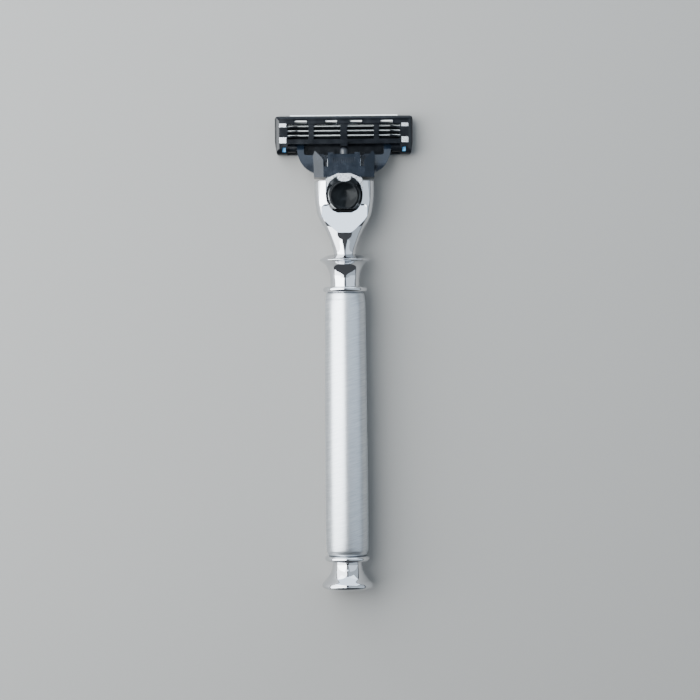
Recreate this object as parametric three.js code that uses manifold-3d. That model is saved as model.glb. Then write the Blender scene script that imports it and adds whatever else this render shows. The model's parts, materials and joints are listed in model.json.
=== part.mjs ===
// A cartridge razor: a turned metal handle with a forked head, and a pivoting three-blade cartridge.
// Millimetres. X runs across the razor, Y along the handle to the blades, Z up from the surface on
// which the razor lies blades down. Lengths along the handle are stations, counted from the butt end;
// the whole group is moved back by half the length at the end, so the origin is under the middle.
import * as THREE from "three";
import { mergeVertices } from "three/addons/utils/BufferGeometryUtils.js";
import Module from "manifold-3d";

const wasm = await Module();
wasm.setup();

// ---------------------------------------------------------------- driving dimensions

const LENGTH = 142; // butt end to the front edge of the lubricating strip
const AXIS_Z = 7.6; // height of the handle's axis, and the radius of its two flanges
const ROUND = 36; // sides of the turned pieces
const FIT = 0.05; // radial clearance of a sliding or a seated fit

// Stations of the handle's joints, from the butt end.
const CAP_TOP = 8;
const LOWER_BEAD_TOP = 9.7;
const BARREL_TOP = 88.2;
const UPPER_BEAD_TOP = 89.9;
const COLLAR_TOP = 99.5;
const HEAD_FRONT = 121.3;

const BARREL_BORE = 4.05;
const ROD_RADIUS = 1.95;
const NECK_RADIUS = 4.4; // waist of the collar and of the end cap
const BEAD_RADIUS = 6.6;

// Fork of the head, and the nose that it holds.
const SLOT_HALF = 5.5;
const SLOT_CENTRE = 118.6; // centre of the slot's round rear end
const SLOT_FLOOR = 4.3;
const NOSE_TOP = 10.6;
const NOSE_TIP = 128.6;
const PLUNGER_Z = 6.6;
const PLUNGER_RADIUS = 1.2;
const CHAMBER_RADIUS = 1.85;
const CHAMBER_FRONT = 124.5;

// Thumb button and the ejector that it drives.
const BUTTON_STATION = 117.6;
const BUTTON_RADIUS = 5.33;
const BUTTON_REAR = 112.8; // flat cut at the rear of the round pad
const BUTTON_Z = 11.35;
const BUTTON_TOP = 15;
const EJECTOR_TRAVEL = 3;
const ARCH_FRONT = 123.4;

// Facet milled behind the thumb button: a plane that rises to the rear.
const FACET_REAR = 105.9;
const FACET_FRONT = 114.3;
const FACET_HALF = 6.75;
const FACET_Z = 10.7; // at the station below
const FACET_STATION = BUTTON_REAR;
const FACET_SLOPE = 0.085;

// Cartridge.
const PIVOT_STATION = 131.9;
const PIVOT_Z = 2.9;
const JOURNAL_RADIUS = 0.9;
const HOUSING_HALF = 20.75;
const HOUSING_REAR = 129.7;
const HOUSING_FRONT = 141.4;
const HOUSING_TOP = 5.2;
const END_INNER = 16.9; // inner wall of the end blocks
const BLADE_STATIONS = [135.6, 137, 138.4];
const BLADE_HALF = 18.5;
const BLADE_FLOAT = 0.3;
const CLIP_X = [17.3, 19.35];
const CLIP_STATIONS = [133.2, 139.05];
const SHEET = 0.25; // thickness of the clips

// ---------------------------------------------------------------- materials

const finish = (color, roughness, metalness) =>
  new THREE.MeshStandardMaterial({ color, roughness, metalness });
const CHROME = finish(0xd8dade, 0.06, 1);
const BRUSHED = finish(0xc4c8cc, 0.32, 1);
const STEEL = finish(0xa8abb0, 0.3, 1);
const BLADE_STEEL = finish(0xc0c4c8, 0.2, 1);
const NOSE_METAL = finish(0xa9adb3, 0.38, 0.9);
const ALUMINIUM = finish(0xd4d7da, 0.3, 1);
const BUTTON_BLACK = finish(0x0d0e11, 0.3, 0);
const HOUSING_BLACK = finish(0x101216, 0.28, 0);
const YOKE_BLUE = finish(0x1d2733, 0.4, 0);
const STRIP_WHITE = finish(0xe6e8e4, 0.6, 0);
const GUARD_BLUE = finish(0x4e9bd6, 0.6, 0);

// ---------------------------------------------------------------- solids

// A closed geometry as a solid whose faces point out.
function solid(geometry) {
  const bare = new THREE.BufferGeometry();
  bare.setAttribute("position", geometry.getAttribute("position"));
  bare.setIndex(geometry.index);
  const merged = mergeVertices(bare, 1e-4);
  const vertProperties = new Float32Array(merged.attributes.position.array);
  const triVerts = new Uint32Array(merged.index.array);
  const made = new wasm.Manifold(new wasm.Mesh({ numProp: 3, vertProperties, triVerts }));
  if (made.volume() > 0) return made;
  for (let i = 0; i < triVerts.length; i += 3) {
    [triVerts[i + 1], triVerts[i + 2]] = [triVerts[i + 2], triVerts[i + 1]];
  }
  return new wasm.Manifold(new wasm.Mesh({ numProp: 3, vertProperties, triVerts }));
}

// Several solids joined into one.
const join = (...solids) => solids.reduce((all, next) => all.add(next));

// The first solid less all the others.
const cut = (first, ...others) => others.reduce((left, next) => left.subtract(next), first);

// A named mesh of a solid.
function node(name, made, material) {
  const { numProp, vertProperties, triVerts } = made.getMesh();
  const geometry = new THREE.BufferGeometry();
  const positions = new Float32Array((vertProperties.length / numProp) * 3);
  for (let i = 0; i < positions.length / 3; i += 1) {
    positions.set(vertProperties.subarray(i * numProp, i * numProp + 3), i * 3);
  }
  geometry.setAttribute("position", new THREE.BufferAttribute(positions, 3));
  geometry.setIndex(new THREE.BufferAttribute(new Uint32Array(triVerts), 1));
  geometry.computeVertexNormals();
  const mesh = new THREE.Mesh(geometry, material);
  mesh.name = name;
  return mesh;
}

// A block between two corners.
function block([x0, s0, z0], [x1, s1, z1]) {
  const geometry = new THREE.BoxGeometry(x1 - x0, s1 - s0, z1 - z0);
  geometry.translate((x0 + x1) / 2, (s0 + s1) / 2, (z0 + z1) / 2);
  return solid(geometry);
}

// The same block on both sides of the middle, as two solids.
const pair = ([x0, s0, z0], [x1, s1, z1]) => [
  block([x0, s0, z0], [x1, s1, z1]),
  block([-x1, s0, z0], [-x0, s1, z1]),
];

const outline = (points) => new THREE.Shape(points.map(([u, v]) => new THREE.Vector2(u, v)));

// An outline in plan (x, station), raised from z0 to z1.
function raised(shape, z0, z1, curveSegments = 12) {
  const geometry = new THREE.ExtrudeGeometry(shape, {
    depth: z1 - z0,
    bevelEnabled: false,
    curveSegments,
  });
  geometry.translate(0, 0, z0);
  return solid(geometry);
}

// An outline seen from the side (station, z), drawn out across from x0 to x1.
function across(shape, x0, x1, curveSegments = 12) {
  const geometry = new THREE.ExtrudeGeometry(shape, {
    depth: x1 - x0,
    bevelEnabled: false,
    curveSegments,
  });
  geometry.translate(0, 0, x0);
  const turn = new THREE.Matrix4().set(0, 0, 1, 0, 1, 0, 0, 0, 0, 1, 0, 0, 0, 0, 0, 1);
  geometry.applyMatrix4(turn);
  return solid(geometry);
}

// A profile of [radius, station] points turned about a line along the handle at height z.
function turned(points, z = AXIS_Z, sides = ROUND) {
  const profile = points.map(([radius, station]) => new THREE.Vector2(radius, station));
  const geometry = new THREE.LatheGeometry(profile, sides);
  geometry.translate(0, 0, z);
  return solid(geometry);
}

const rod = (radius, s0, s1, z = AXIS_Z, sides = ROUND) =>
  turned([[0, s0], [radius, s0], [radius, s1], [0, s1]], z, sides);

// A round pin across the razor.
function crossPin(radius, x0, x1, station, z, sides = 24) {
  const geometry = new THREE.CylinderGeometry(radius, radius, x1 - x0, sides);
  geometry.rotateZ(Math.PI / 2);
  geometry.translate((x0 + x1) / 2, station, z);
  return solid(geometry);
}

// A disc or post that stands up from z0 to z1.
function post(radius, station, z0, z1, sides = 40) {
  const geometry = new THREE.CylinderGeometry(radius, radius, z1 - z0, sides);
  geometry.rotateX(Math.PI / 2);
  geometry.translate(0, station, (z0 + z1) / 2);
  return solid(geometry);
}

// A coil spring along the handle at height z.
class Helix extends THREE.Curve {
  constructor(radius, s0, s1, z, turns) {
    super();
    Object.assign(this, { radius, s0, s1, z, turns });
  }

  getPoint(t, target = new THREE.Vector3()) {
    const angle = 2 * Math.PI * this.turns * t;
    const x = this.radius * Math.cos(angle);
    const z = this.z + this.radius * Math.sin(angle);
    return target.set(x, this.s0 + (this.s1 - this.s0) * t, z);
  }
}

function coil({ radius, wire, s0, s1, z, turns }) {
  const section = new THREE.Shape();
  section.absarc(0, 0, wire / 2, 0, 2 * Math.PI);
  const geometry = new THREE.ExtrudeGeometry(section, {
    steps: turns * 8,
    curveSegments: 3,
    bevelEnabled: false,
    extrudePath: new Helix(radius - wire / 2, s0 + wire / 2, s1 - wire / 2, z, turns),
  });
  return solid(geometry);
}

// Points [radius, station] on an arc about a centre, from one angle to the other, in degrees.
function arc(radius, station, size, from, to, steps = 8) {
  return Array.from({ length: steps + 1 }, (_, i) => {
    const angle = THREE.MathUtils.degToRad(from + ((to - from) * i) / steps);
    return [radius + size * Math.cos(angle), station + size * Math.sin(angle)];
  });
}

// Points on a smooth curve through the given ones.
function smooth(points, steps) {
  const curve = new THREE.SplineCurve(points.map(([u, v]) => new THREE.Vector2(u, v)));
  return curve.getPoints(steps).map((p) => [p.x, p.y]);
}

// ---------------------------------------------------------------- handle

// The end cap flares from its waist to a rim, and is tapped for the tie rod.
function endCap() {
  const flare = smooth([[7.6, 1.1], [7.2, 1.75], [5.9, 3.2], [4.9, 4.9], [NECK_RADIUS, 7]], 9);
  const outer = [[0, 0], [6.9, 0], [7.45, 0.35], ...flare, [NECK_RADIUS, CAP_TOP], [0, CAP_TOP]];
  return cut(turned(outer), rod(ROD_RADIUS + FIT, 3, CAP_TOP + 1));
}

// A bead ring is a half-round band with a spigot that centres it in the barrel.
function beadRing(bottom, top, radius, spigotEnd) {
  const middle = (bottom + top) / 2;
  const half = (top - bottom) / 2;
  const band = turned([[0, bottom], ...arc(radius - half, middle, half, -90, 90, 8), [0, top]]);
  const spigot = rod(BARREL_BORE - FIT, Math.min(spigotEnd, bottom), Math.max(spigotEnd, top));
  return cut(join(band, spigot), rod(ROD_RADIUS + FIT, bottom - 20, top + 20));
}

// The barrel is a tube, a little thicker towards its lower end and rounded in at both.
function barrelSleeve() {
  const bottom = LOWER_BEAD_TOP + 0.1;
  const side = smooth(
    [[5.55, bottom], [6.05, bottom + 0.9], [6.3, bottom + 3.4], [6.36, 27], [6.28, 50],
      [6.12, 72], [6.03, 84], [5.85, 86.4], [5.45, BARREL_TOP - 0.05]],
    14,
  );
  const bore = [[BARREL_BORE, BARREL_TOP - 0.05], [BARREL_BORE, bottom]];
  return turned([...side, ...bore, side[0]]);
}

// The upper collar has a sharp-rimmed flange over a trumpet.
function upperCollar() {
  const trumpet = smooth(
    [[NECK_RADIUS, UPPER_BEAD_TOP + 0.6], [NECK_RADIUS, 92.3], [4.7, 94.2], [5.5, 96], [6.8, 97.25]],
    9,
  );
  const flange = [[7.35, 97.55], [7.6, 97.75], [7.55, 97.95], [6.4, 98.75], [5, 99.3]];
  const top = COLLAR_TOP - 0.05;
  const start = [[0, UPPER_BEAD_TOP], [NECK_RADIUS, UPPER_BEAD_TOP]];
  const whole = turned([...start, ...trumpet, ...flange, [4, top], [0, top]]);
  return cut(whole, rod(ROD_RADIUS + FIT, UPPER_BEAD_TOP - 1, COLLAR_TOP + 1));
}

// Sections of the head from its neck to the fork: half width, station and half height.
const HEAD_SECTIONS = [
  [3.3, COLLAR_TOP, 3.3], [3.34, 100.2, 3.3], [3.75, 101.9, 3.36], [4.39, 103.9, 3.48],
  [5.12, 105.7, 3.72], [6.08, 107.6, 4.0], [7.2, 109.5, 4.45], [8.0, 111.3, 4.85],
  [8.45, 113.4, 5.2], [8.78, 115.8, 5.42], [8.93, 118.6, 5.5], [8.93, HEAD_FRONT, 5.5],
];

// The head flares like a tulip. Its sections are round at the neck and turn to flattened ovals
// with full sides, superellipses, towards the fork.
function tulip() {
  const points = HEAD_SECTIONS.map(([width, station, height]) => new THREE.Vector3(width, station, height));
  const curve = new THREE.CatmullRomCurve3(points, false, "catmullrom", 0.5);
  const rows = curve.getPoints(18);
  rows.unshift(new THREE.Vector3(0, COLLAR_TOP, 0));
  rows.push(new THREE.Vector3(0, HEAD_FRONT, 0));
  const geometry = new THREE.LatheGeometry(rows.map((row) => new THREE.Vector2(row.x, row.y)), ROUND);
  const position = geometry.getAttribute("position");
  const rounded = (value, power) => Math.sign(value) * Math.abs(value) ** power;
  for (let i = 0; i < position.count; i += 1) {
    const row = rows[i % rows.length];
    const angle = (2 * Math.PI * Math.floor(i / rows.length)) / ROUND;
    const power = 2 / (2 + 0.8 * THREE.MathUtils.smoothstep(row.y, COLLAR_TOP, 105));
    position.setX(i, row.x * rounded(Math.sin(angle), power));
    position.setZ(i, row.z * rounded(Math.cos(angle), power));
  }
  geometry.translate(0, 0, AXIS_Z);
  return solid(geometry);
}

// The slot's outline in plan, open to the front and round at the rear.
function slotOutline(half, front) {
  const shape = new THREE.Shape();
  shape.moveTo(-half, front);
  shape.lineTo(-half, SLOT_CENTRE);
  shape.absarc(0, SLOT_CENTRE, half, Math.PI, 2 * Math.PI);
  shape.lineTo(half, front);
  shape.closePath();
  return shape;
}

// The button's plan: round in front, fuller behind, where a flat cuts it off.
const PAD_DEPTH = 1.08; // of the fuller half, over the radius
function padOutline(grow) {
  const radius = BUTTON_RADIUS + grow;
  const rear = BUTTON_REAR - grow;
  const points = Array.from({ length: 48 }, (_, i) => {
    const angle = (2 * Math.PI * i) / 48;
    const reach = radius * padReach(Math.cos(angle), Math.sin(angle));
    return [reach * Math.cos(angle), BUTTON_STATION + reach * Math.sin(angle)];
  });
  return points.map(([x, station]) => [x, Math.max(station, rear)]);
}

// How far the plan reaches along a direction, over the radius.
function padReach(across, along) {
  if (along >= 0) return 1;
  const power = 2.5;
  return (Math.abs(across) ** power + (-along / PAD_DEPTH) ** power) ** (-1 / power);
}

// What is milled away above the facet: a plan with round front corners, over the sloping plane.
function facetCutter() {
  const corner = 1.2;
  const plan = new THREE.Shape();
  plan.moveTo(-FACET_HALF, FACET_REAR);
  plan.lineTo(FACET_HALF, FACET_REAR);
  plan.lineTo(FACET_HALF, FACET_FRONT - corner);
  plan.absarc(FACET_HALF - corner, FACET_FRONT - corner, corner, 0, Math.PI / 2);
  plan.absarc(corner - FACET_HALF, FACET_FRONT - corner, corner, Math.PI / 2, Math.PI);
  plan.closePath();
  const facetZ = (station) => FACET_Z + (FACET_STATION - station) * FACET_SLOPE;
  const side = outline([[100, facetZ(100)], [120, facetZ(120)], [120, 20], [100, 20]]);
  return raised(plan, 5, 18).intersect(across(side, -10, 10));
}

function headBody() {
  const slot = raised(slotOutline(SLOT_HALF, HEAD_FRONT + 1), SLOT_FLOOR, 16);
  const well = raised(outline(padOutline(0.17)), BUTTON_Z - 0.15, 16);
  const tapped = rod(ROD_RADIUS + FIT, COLLAR_TOP - 1, 104);
  const pins = crossPin(0.85, -10, 10, SLOT_CENTRE, AXIS_Z);
  return cut(tulip(), slot, well, facetCutter(), tapped, pins);
}

// ---------------------------------------------------------------- nose, plunger and ejector

const GROOVE = { half: 0.8, floor: 9.05, rear: 114, front: 121.2 };
const KEEL = { rear: 114.2, front: 117.2 };

function noseInsert() {
  const gap = 0.06;
  const root = raised(slotOutline(SLOT_HALF - gap, HEAD_FRONT + 0.75), SLOT_FLOOR + gap, NOSE_TOP);
  const tip = outline([[-4.95, 121], [4.95, 121], [4.95, NOSE_TIP - 0.7], [4.2, NOSE_TIP],
    [-4.2, NOSE_TIP], [-4.95, NOSE_TIP - 0.7]]);
  const nose = raised(tip, 4.85, 9.85);
  const chamber = rod(CHAMBER_RADIUS, 110, CHAMBER_FRONT, PLUNGER_Z, 24);
  const bore = rod(PLUNGER_RADIUS + FIT, 120, NOSE_TIP + 1, PLUNGER_Z, 24);
  const groove = block([-GROOVE.half, GROOVE.rear, GROOVE.floor], [GROOVE.half, GROOVE.front, 12]);
  const sockets = [
    crossPin(0.85, 3.4, 10, SLOT_CENTRE, AXIS_Z),
    crossPin(0.85, -10, -3.4, SLOT_CENTRE, AXIS_Z),
  ];
  return cut(join(root, nose), chamber, bore, groove, ...sockets);
}

const nosePin = (side) => {
  const ends = [3.45 * side, 8.7 * side].sort((a, b) => a - b);
  return crossPin(0.8, ends[0], ends[1], SLOT_CENTRE, AXIS_Z);
};

// A sprung pin with a round tip that bears on the cartridge's cam.
const PLUNGER_TIP = PIVOT_STATION - 0.15;
const PLUNGER_FLANGE = 121.3;

function plunger() {
  const dome = arc(0, PLUNGER_TIP - PLUNGER_RADIUS, PLUNGER_RADIUS, 0, 90, 6);
  const flange = CHAMBER_RADIUS - 0.1;
  const start = [[0, PLUNGER_FLANGE], [flange, PLUNGER_FLANGE], [flange, PLUNGER_FLANGE + 0.8]];
  return turned([...start, [PLUNGER_RADIUS, PLUNGER_FLANGE + 0.8], ...dome], PLUNGER_Z, 24);
}

const plungerSpring = () =>
  coil({ radius: 1.65, wire: 0.4, s0: 113.3, s1: PLUNGER_FLANGE - 0.1, z: PLUNGER_Z, turns: 7 });

const ejectorSpring = () =>
  coil({ radius: 0.68, wire: 0.25, s0: KEEL.front + 0.1, s1: GROOVE.front - 0.1, z: 9.85, turns: 7 });

// The ejector's plan: an arch at the front that bears on the yoke, and a round tail under the button.
function archOutline(grow = 0) {
  return [[5.3 + grow, 121.9 + grow / 2], [1.9 + grow / 2, ARCH_FRONT + grow],
    [-1.9 - grow / 2, ARCH_FRONT + grow], [-5.3 - grow, 121.9 + grow / 2]];
}

function lensOutline(grow = 0) {
  const shape = new THREE.Shape();
  shape.absellipse(0, 122.1, 2 + grow, 1.2 + grow, 0, 2 * Math.PI);
  return shape;
}

const STEM = { half: 1.8, rear: 115.8, front: 118.6, top: 12.6 };

function ejectorSlide() {
  const plan = outline([[4.3, 117.5], [4.3, 120.7], [5.3, 121.3], ...archOutline(), [-5.3, 121.3],
    [-4.3, 120.7], [-4.3, 117.5], [-3.4, 114.4], [3.4, 114.4]]);
  const plate = raised(plan, NOSE_TOP + FIT, BUTTON_Z - 0.06);
  const front = outline([[4.9, 119.3], [4.9, 120.9], [5.3, 121.3], ...archOutline(), [-5.3, 121.3],
    [-4.9, 120.9], [-4.9, 119.3]]);
  const arch = cut(raised(front, BUTTON_Z - 0.1, 12.1), post(BUTTON_RADIUS + 0.1, BUTTON_STATION, 11, 13));
  const lens = raised(lensOutline(), 11.2, 12.6, 24);
  const stem = block([-STEM.half, STEM.rear, 11.2], [STEM.half, STEM.front, STEM.top]);
  const keel = block([-0.72, KEEL.rear, GROOVE.floor + 0.1], [0.72, KEEL.front, 11]);
  return join(plate, arch, lens, stem, keel);
}

// The thumb button leans back, with a dished top, a flat rear and a front notch.
function ejectorButton() {
  const lean = 1.1;
  const low = 12.1;
  const edge = [[0, BUTTON_Z], [BUTTON_RADIUS, BUTTON_Z], [BUTTON_RADIUS, low], [5.15, 12.5]];
  const crown = [[4.5, 14.4], [4.25, 14.85], [3.95, BUTTON_TOP], [3.6, 14.9], [2.6, 14.45]];
  const profile = [...edge, ...crown, [1.3, 14.2], [0, 14.1]];
  const geometry = new THREE.LatheGeometry(profile.map(([radius, z]) => new THREE.Vector2(radius, z)), 40);
  const position = geometry.getAttribute("position");
  for (let i = 0; i < position.count; i += 1) {
    const x = position.getX(i);
    const z = position.getY(i);
    const along = position.getZ(i);
    const rise = THREE.MathUtils.clamp((z - low) / (BUTTON_TOP - low), 0, 1);
    const radius = Math.hypot(x, along) || 1;
    const reach = THREE.MathUtils.lerp(padReach(x / radius, along / radius), 1, rise);
    position.setXYZ(i, x * reach, BUTTON_STATION + along * reach - lean * rise, z);
  }
  const rear = block([-6, 105, 11], [6, BUTTON_REAR, 16]);
  const notch = raised(lensOutline(0.12), 11, 16, 24);
  const pocket = block(
    [-STEM.half - 0.06, STEM.rear - 0.06, 11],
    [STEM.half + 0.06, STEM.front + 0.06, STEM.top + 0.06],
  );
  return cut(solid(geometry), rear, notch, pocket);
}

// ---------------------------------------------------------------- yoke

const YOKE_REAR = 122.4;
const PANEL_FRONT = 129.3;
const PANEL_HALF = 4.85;
const ARM_X = [12, 14.1];

// A wing seen from the side: its back curves down from the root to the eye about the pivot.
function wingSide() {
  const shape = new THREE.Shape();
  const eye = 1.1;
  const foreUp = THREE.MathUtils.degToRad(50);
  const front = [PIVOT_STATION + eye * Math.cos(foreUp), PIVOT_Z + eye * Math.sin(foreUp)];
  const back = smooth([[YOKE_REAR + 0.6, 8.1], [125.3, 7.85], [127.6, 6.85], [130, 5.35], front], 12);
  const belly = smooth([[131.2, 2.05], [129.4, 3.6], [127.6, 4.5], [125.6, 4.85]], 8);
  shape.moveTo(YOKE_REAR + 0.6, 4.9);
  back.forEach(([station, z]) => shape.lineTo(station, z));
  shape.absarc(PIVOT_STATION, PIVOT_Z, eye, foreUp, foreUp - Math.PI, true);
  belly.forEach(([station, z]) => shape.lineTo(station, z));
  shape.closePath();
  return shape;
}

// A wing in plan, from the base round to the arm's end, for the right side.
function wingPlan(side) {
  const shape = new THREE.Shape();
  shape.moveTo(7 * side, YOKE_REAR + 1.6);
  shape.lineTo(9.1 * side, YOKE_REAR + 1.6);
  shape.bezierCurveTo(12 * side, 125.1, 13.7 * side, 127.6, 14.1 * side, 131.2);
  shape.lineTo(ARM_X[1] * side, 133.2);
  shape.lineTo(ARM_X[0] * side, 133.2);
  shape.lineTo(ARM_X[0] * side, 130.4);
  shape.quadraticCurveTo(ARM_X[0] * side, 129.5, 11.1 * side, 129.5);
  shape.lineTo(7 * side, 129.5);
  shape.closePath();
  return shape;
}

// The body between the wings: a flat panel flanked by two horns that taper to their tips.
function yokeBody() {
  const plan = outline([
    [9, YOKE_REAR], [9, 125.5], [9.3, 128.8], [8.75, 130.4], [8.35, 130.2], [6, 127.5],
    [6, 126], [PANEL_HALF, 126], [PANEL_HALF, PANEL_FRONT],
    [-PANEL_HALF, PANEL_FRONT], [-PANEL_HALF, 126], [-6, 126],
    [-6, 127.5], [-8.35, 130.2], [-8.75, 130.4], [-9.3, 128.8], [-9, 125.5], [-9, YOKE_REAR],
  ]);
  const side = outline([[YOKE_REAR, 4], [YOKE_REAR, 11.5], [131, 10.35], [131, 7], [128.5, 4.6]]);
  const upper = raised(plan, 4, 12).intersect(across(side, -10, 10));
  const root = block([-9, YOKE_REAR, 4], [9, 126, 9]);
  const cheeks = pair([PANEL_HALF - 0.2, 125, 4.6], [8.4, 127.4, 8.4]);
  const webs = pair([5.9, 126, 5.4], [9, 129.6, 7.4]);
  const floor = block([-5.6, 125, 4], [5.6, PANEL_FRONT - 0.2, 4.7]);
  const walls = pair([5.05, 125, 4], [5.9, PANEL_FRONT - 0.2, 8.6]);
  const tabs = pair([3.15, PANEL_FRONT - 0.4, 8.2], [PANEL_HALF - 0.1, PANEL_FRONT + 0.6, 9.7]);
  return join(upper, root, floor, ...cheeks, ...webs, ...walls, ...tabs);
}

// What the horns lose above: their backs slope out to the sides, and down a little to the tips.
function hornCutters() {
  const fall = 0.12;
  return [1, -1].map((side) => {
    const face = outline([[5.9 * side, 11.6], [11 * side, 8.75], [11 * side, 15], [5.9 * side, 15]]);
    const geometry = new THREE.ExtrudeGeometry(face, { depth: 12, bevelEnabled: false });
    geometry.rotateX(Math.PI / 2);
    geometry.translate(0, 132, 0);
    const position = geometry.getAttribute("position");
    for (let i = 0; i < position.count; i += 1) {
      position.setZ(i, position.getZ(i) - fall * (position.getY(i) - YOKE_REAR));
    }
    return solid(geometry);
  });
}

function yoke() {
  const wings = [1, -1].map((side) => {
    const reach = [6 * side, 15 * side].sort((a, b) => a - b);
    return raised(wingPlan(side), 0, 12).intersect(across(wingSide(), reach[0], reach[1]));
  });
  const journals = [crossPin(JOURNAL_RADIUS, 13, 16.6, PIVOT_STATION, PIVOT_Z),
    crossPin(JOURNAL_RADIUS, -16.6, -13, PIVOT_STATION, PIVOT_Z)];
  const body = cut(join(yokeBody(), ...wings, ...journals), ...hornCutters());
  const socket = block([-5.05, 121, 4.75], [5.05, 128.75, 9.95]);
  const window = block([-3.1, 128, 4.9], [3.1, 131, 8.4]);
  const archGap = raised(outline([...archOutline(0.1), [-5.4, 121], [5.4, 121]]), 9.9, 13);
  const slots = pair([PANEL_HALF, 125.6, 9.2], [6, 131, 13]);
  return cut(body, socket, window, archGap, ...slots);
}

// ---------------------------------------------------------------- cartridge

// An end block in plan: round corners, and drawn in a little towards the rear.
function endOutline(side) {
  const shape = new THREE.Shape();
  const outer = HOUSING_HALF * side;
  const mid = (inset) => (HOUSING_HALF - inset) * side;
  shape.moveTo(END_INNER * side, HOUSING_REAR);
  shape.lineTo(mid(1.5), HOUSING_REAR);
  shape.quadraticCurveTo(mid(0.6), HOUSING_REAR, mid(0.5), HOUSING_REAR + 0.9);
  shape.lineTo(outer, HOUSING_REAR + 4.2);
  shape.lineTo(outer, HOUSING_FRONT - 1.5);
  shape.quadraticCurveTo(outer, HOUSING_FRONT, mid(1.5), HOUSING_FRONT);
  shape.lineTo(END_INNER * side, HOUSING_FRONT);
  shape.closePath();
  return shape;
}

// The end of the housing seen from the side, rounded over at the front and the rear.
function endSide() {
  const shape = new THREE.Shape();
  shape.moveTo(HOUSING_REAR + 0.3, 0.3);
  shape.lineTo(HOUSING_REAR, 1);
  shape.lineTo(HOUSING_REAR, 3.4);
  shape.quadraticCurveTo(HOUSING_REAR + 0.1, 4.9, HOUSING_REAR + 1.8, HOUSING_TOP);
  shape.lineTo(HOUSING_FRONT - 1.6, HOUSING_TOP);
  shape.quadraticCurveTo(HOUSING_FRONT, HOUSING_TOP - 0.1, HOUSING_FRONT, 3.7);
  shape.lineTo(HOUSING_FRONT, 1);
  shape.lineTo(HOUSING_FRONT - 0.4, 0.3);
  shape.closePath();
  return shape;
}

const TABS = [[-14.7, -11.1], [-5.5, -2], [2, 5.5], [11.1, 14.7]];
const TAB_STATIONS = [139.15, 139.95];
const PLUG = { x: [17.5, 18.5], s: [130.6, 131.9], top: 4.3 };
const RIB_SPANS = [[-10.6, -9], [-1.05, 1.05], [9, 10.6]];
const RIB_FLOOR = 3.9;

// A clip seen from the side: a strap under the blades, two legs, and their ends folded in on top.
function clipOutline(grow = 0) {
  const [rear, front] = CLIP_STATIONS;
  const low = 0.02 - grow;
  const high = HOUSING_TOP + 0.05 + grow;
  const wall = SHEET + grow;
  const roof = HOUSING_TOP - 0.2 - grow;
  return outline([
    [rear - grow, low], [front + grow, low], [front + grow, high], [front - 1.05 - grow, high],
    [front - 1.05 - grow, roof], [front - wall, roof], [front - wall, wall + 0.02],
    [rear + wall, wall + 0.02], [rear + wall, roof], [rear + 1.7 + grow, roof],
    [rear + 1.7 + grow, high], [rear - grow, high],
  ]);
}

const clip = (side) => {
  const ends = [CLIP_X[0] * side, CLIP_X[1] * side].sort((a, b) => a - b);
  return across(clipOutline(), ends[0], ends[1]);
};

// Three spring fingers lean in from an end block over the blade supports.
function springFingers(side) {
  return BLADE_STATIONS.map((station) => {
    const root = END_INNER + 0.2;
    const tip = 13.9;
    const lean = 0.35;
    const plan = outline([
      [root * side, station - 0.75], [root * side, station - 0.3],
      [tip * side, station - 0.3 + lean], [tip * side, station - 0.6 + lean],
    ]);
    return raised(plan, RIB_FLOOR + 0.05, RIB_FLOOR + 0.5);
  });
}

// The end of the housing seen from the front, rounded over along its outer edge.
function endFront(side) {
  const shape = new THREE.Shape();
  const outer = HOUSING_HALF * side;
  const round = 1.4;
  shape.moveTo(14 * side, 0);
  shape.lineTo((HOUSING_HALF - 0.4) * side, 0);
  shape.lineTo(outer, 0.5);
  shape.lineTo(outer, HOUSING_TOP - round);
  shape.quadraticCurveTo(outer, HOUSING_TOP - 0.1, (HOUSING_HALF - round) * side, HOUSING_TOP);
  shape.lineTo(14 * side, HOUSING_TOP);
  shape.closePath();
  const geometry = new THREE.ExtrudeGeometry(shape, { depth: 14, bevelEnabled: false, curveSegments: 6 });
  geometry.rotateX(Math.PI / 2);
  geometry.translate(0, HOUSING_REAR + 13, 0);
  return solid(geometry);
}

function endBlock(side) {
  const reach = [(END_INNER - 0.1) * side, 21 * side].sort((a, b) => a - b);
  const plan = raised(endOutline(side), 0, 6);
  const body = plan.intersect(across(endSide(), reach[0], reach[1])).intersect(endFront(side));
  const ends = [14.5 * side, 17.5 * side].sort((a, b) => a - b);
  return join(body, crossPin(1.47, ends[0], ends[1], PIVOT_STATION, PIVOT_Z, 28));
}

// What each end block loses: the bore of its pivot, the clip's channel, the blade slots and the plug hole.
function endCutters(side) {
  const span = (a, b) => [a * side, b * side].sort((p, q) => p - q);
  const [b0, b1] = span(14, 16.75);
  const [c0, c1] = span(CLIP_X[0] - 0.05, CLIP_X[1] + 0.05);
  const [s0, s1] = span(END_INNER - 1, BLADE_HALF + 0.15);
  const [h0, h1] = span(PLUG.x[0] - 0.05, PLUG.x[1] + 0.05);
  const slots = BLADE_STATIONS.map((station) =>
    block([s0, station - 0.25, 0.8], [s1, station + 0.25, RIB_FLOOR]));
  return [
    crossPin(JOURNAL_RADIUS + FIT, b0, b1, PIVOT_STATION, PIVOT_Z),
    across(clipOutline(0.05), c0, c1),
    block([s0, 134.2, 0], [s1, 138.6, 1.9]),
    block([h0, PLUG.s[0] - 0.05, 0], [h1, PLUG.s[1] + 0.05, 6]),
    ...slots,
  ];
}

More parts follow.
